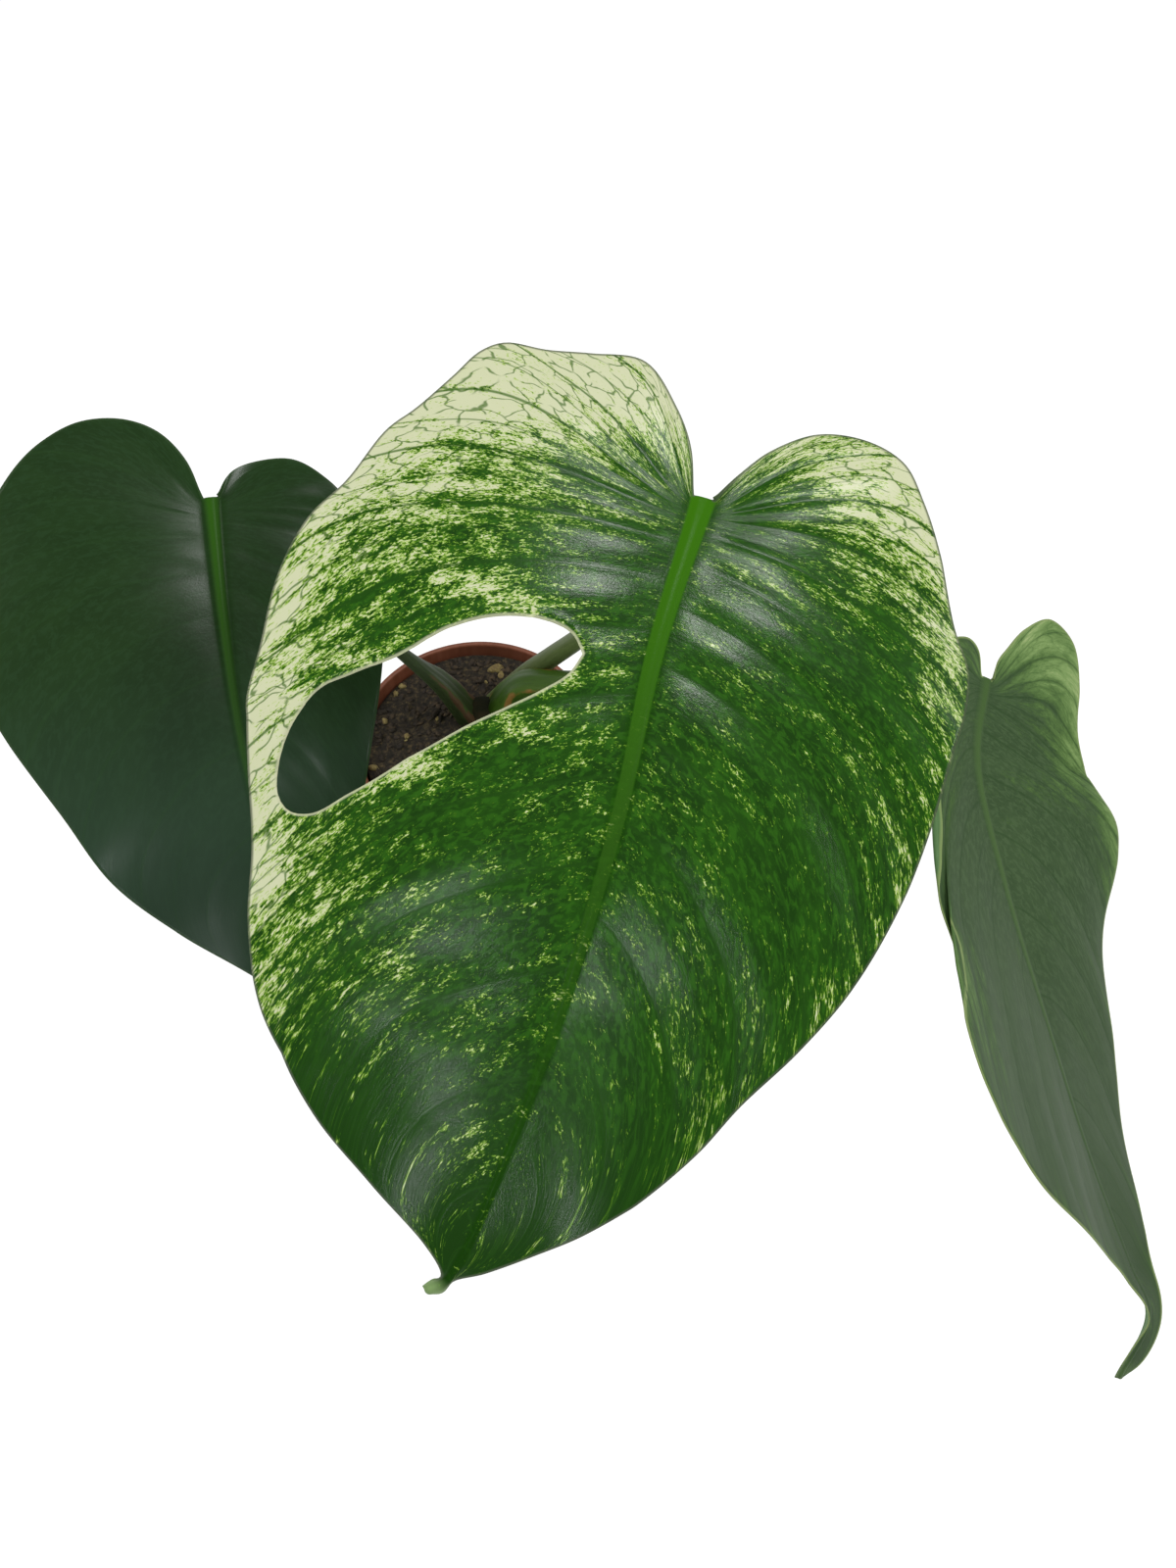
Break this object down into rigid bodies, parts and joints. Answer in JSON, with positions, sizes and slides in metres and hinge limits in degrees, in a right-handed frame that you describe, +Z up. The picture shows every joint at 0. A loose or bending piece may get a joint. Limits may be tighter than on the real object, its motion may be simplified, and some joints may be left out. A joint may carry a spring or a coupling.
{
  "type": "potted devil monster monstera",
  "caption": "Potted monstera with glossy heart-shaped leaves, the largest marbled in cream and cut by a natural window, on arching stalks in a round plastic nursery pot of potting mix.",
  "frame": {"origin": "centre of the pot's flat underside", "axes": "+Z up along the pot's axis, +X to the right in the picture, -Y towards its viewer, where the leaves lean"},
  "size_m": [0.3925, 0.3542, 0.3637],
  "materials": {
    "pot_plastic": "satin",
    "potting_mix": "matte",
    "stem_skin": "satin",
    "stalk_left_skin": "satin",
    "stalk_main_skin": "satin",
    "stalk_right_skin": "satin",
    "blade_left_leaf": "satin",
    "blade_main_leaf": "satin",
    "blade_right_leaf": "satin"
  },
  "bodies": {
    "root": {"pot": "pot_plastic", "soil": "potting_mix", "stem": "stem_skin", "stalk_left": "stalk_left_skin", "stalk_main": "stalk_main_skin", "stalk_right": "stalk_right_skin", "blade_left": "blade_left_leaf", "blade_main": "blade_main_leaf", "blade_right": "blade_right_leaf"}
  },
  "joints": []
}
